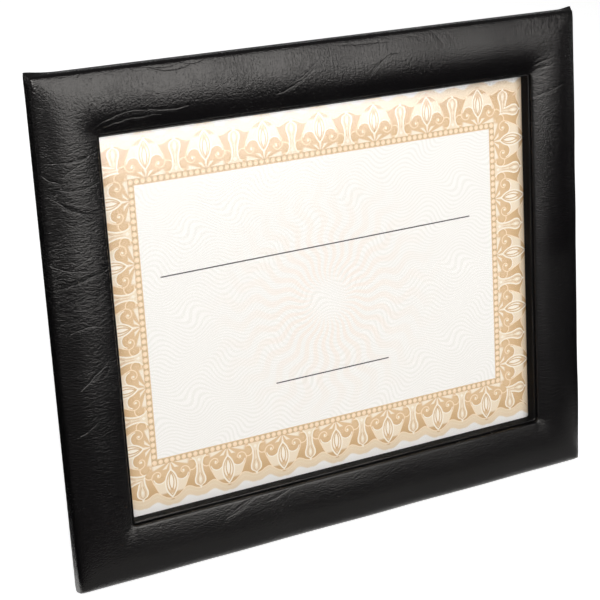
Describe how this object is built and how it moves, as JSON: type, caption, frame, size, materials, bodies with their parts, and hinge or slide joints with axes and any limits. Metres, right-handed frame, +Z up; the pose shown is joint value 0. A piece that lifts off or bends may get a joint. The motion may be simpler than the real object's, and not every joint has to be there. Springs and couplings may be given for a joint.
{
  "type": "certificate frame",
  "caption": "Landscape certificate frame with padded leatherette rails, a slide-in certificate behind a clear sheet, a hinged easel leg with a ribbon stay, and wall hangers.",
  "frame": {"origin": "on the floor, under the middle of the standing frame's bounding box", "axes": "+X to the right along the frame's width, +Y from the front to the back, +Z up"},
  "size_m": [0.3192, 0.0962, 0.2625],
  "materials": {
    "leatherette": "black pebbled leatherette, soft sheen",
    "foam": "open-cell padding",
    "window_board": "plain grey board",
    "clear_sheet": "clear film, glossy",
    "certificate_print": "ivory paper with a tan printed border",
    "backing_card": "buff card",
    "spacer_board": "plain grey board",
    "back_board": "black-faced board",
    "back_lining": "black embossed lining paper",
    "leg_board": "black-faced board",
    "leg_facing": "black embossed lining paper",
    "hinge_steel": "nickel-plated steel, satin",
    "hanger_steel": "nickel-plated steel, satin",
    "rivet_steel": "nickel-plated steel, polished dome",
    "ribbon": "black satin ribbon"
  },
  "bodies": {
    "frame": {"leatherette_cover": "leatherette", "foam_pad": "foam", "window_board": "window_board", "clear_sheet": "clear_sheet", "spacer_left": "spacer_board", "spacer_right": "spacer_board", "spacer_bottom": "spacer_board", "back_board": "back_board", "back_lining": "back_lining", "hinge_fixed_leaf": "hinge_steel", "hinge_pin": "hinge_steel", "hinge_fixed_rivets": "rivet_steel", "ribbon_stay": "ribbon", "ribbon_board_rivet": "rivet_steel", "hanger_strap_left": "hanger_steel", "hanger_strap_right": "hanger_steel", "hanger_rivets": "rivet_steel"},
    "insert": {"certificate": "certificate_print", "backing_card": "backing_card"},
    "easel_leg": {"leg_board": "leg_board", "leg_inner_facing": "leg_facing", "leg_outer_facing": "leg_facing", "hinge_leg_leaf": "hinge_steel", "hinge_leg_rivets": "rivet_steel", "ribbon_leg_rivet": "rivet_steel"},
    "hanger_ring_left": {"hanger_ring_left": "hanger_steel"},
    "hanger_ring_right": {"hanger_ring_right": "hanger_steel"}
  },
  "joints": [
    {"name": "easel_swing", "type": "hinge", "parent": "frame", "child": "easel_leg", "pos_m": [0, 0.00987, 0.20264], "axis": [1, 0, 0], "range_deg": [-22, 0], "deforming": ["ribbon_stay"]},
    {"name": "insert_slide", "type": "slide", "parent": "frame", "child": "insert", "axis": [0, 0.2079, 0.9781], "range_m": [0, 0.24]},
    {"name": "hanger_left_swing", "type": "hinge", "parent": "frame", "child": "hanger_ring_left", "pos_m": [-0.095, 0.01482, 0.22714], "axis": [1, 0, 0], "range_deg": [-6, 165]},
    {"name": "hanger_right_swing", "type": "hinge", "parent": "frame", "child": "hanger_ring_right", "pos_m": [0.095, 0.01482, 0.22714], "axis": [1, 0, 0], "range_deg": [-6, 165]}
  ]
}
